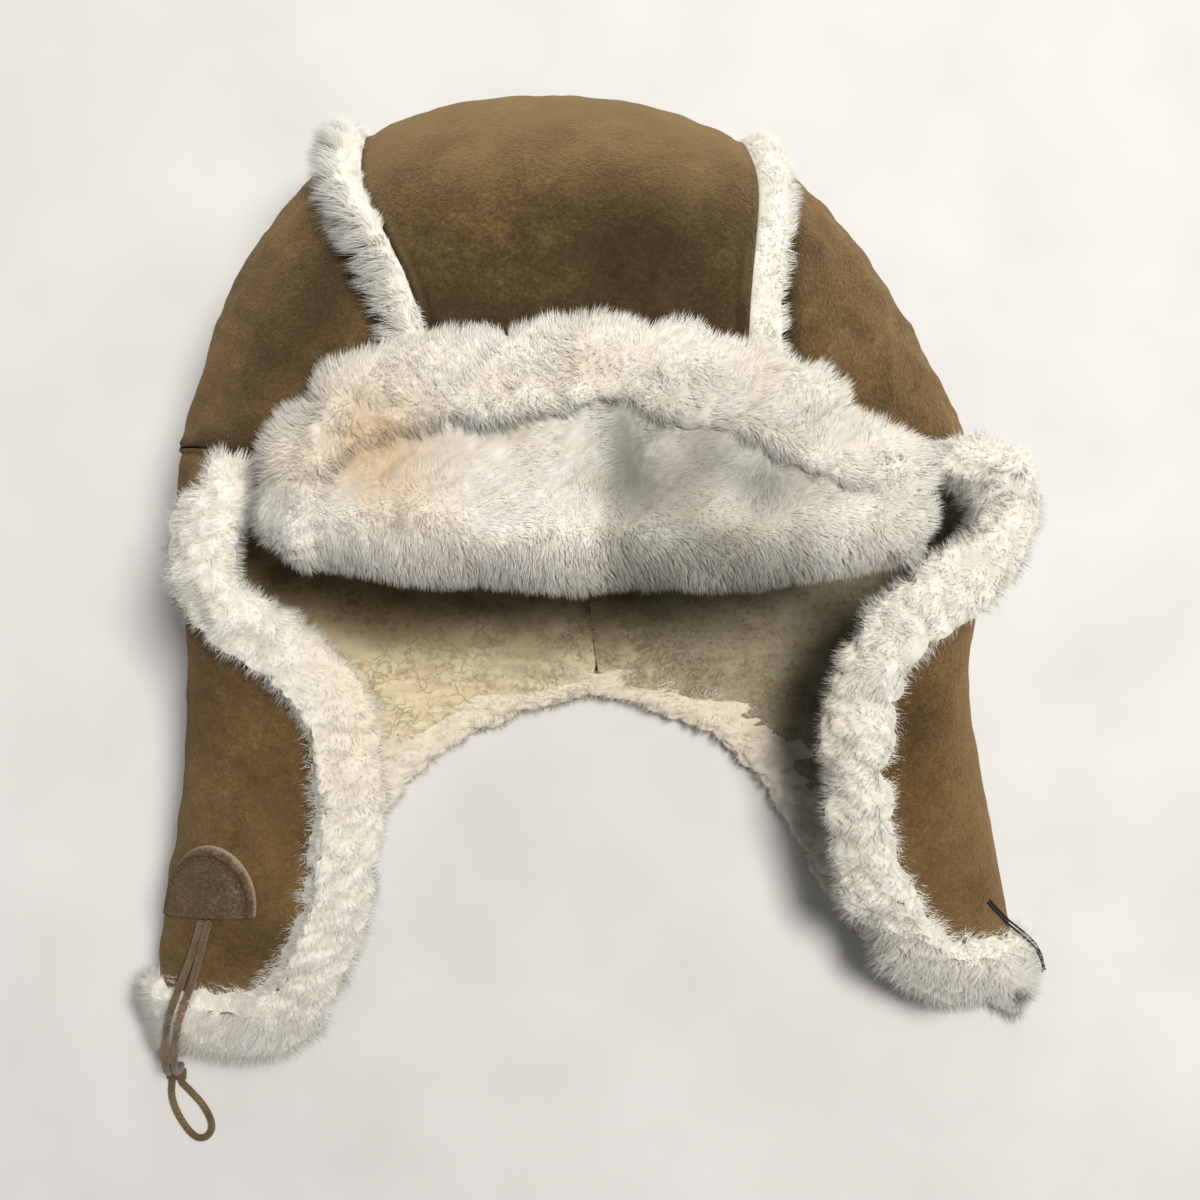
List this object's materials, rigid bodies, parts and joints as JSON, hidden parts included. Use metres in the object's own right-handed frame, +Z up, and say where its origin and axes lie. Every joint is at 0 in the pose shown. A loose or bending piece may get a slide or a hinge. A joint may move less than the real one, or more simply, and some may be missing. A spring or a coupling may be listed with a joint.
{
  "type": "leather flying helmet",
  "caption": "Sheepskin flying helmet with a wool-faced visor turned up, wool-edged ear flaps and an elastic loop, lying open on its back.",
  "frame": {"origin": "on the flat back of the crown, on the surface it lies on, level with the seam at the crown's sides", "axes": "+X across the hat to the right as seen from above, +Y from the ear flaps to the top of the crown, +Z up from the surface, out of the hat's front"},
  "size_m": [0.3246, 0.3649, 0.1542],
  "materials": {
    "crown_suede": "suede",
    "flap_suede": "suede",
    "patch_suede": "suede",
    "cream_wool": "sheared wool",
    "lining_wool": "curly wool",
    "elastic": "braided"
  },
  "bodies": {
    "root": {"crown_centre_panel": "crown_suede", "crown_left_panel": "crown_suede", "crown_right_panel": "crown_suede", "crown_pile": "lining_wool", "left_seam_fur": "cream_wool", "right_seam_fur": "cream_wool", "visor_backing": "crown_suede", "visor_fur": "cream_wool", "visor_edge_fur": "cream_wool", "left_flap_panel": "flap_suede", "right_flap_panel": "flap_suede", "left_flap_pile": "lining_wool", "right_flap_pile": "lining_wool", "left_trim": "cream_wool", "right_trim": "cream_wool", "loop_patch": "patch_suede", "elastic_loop": "elastic", "loop_binding": "elastic"}
  },
  "joints": []
}
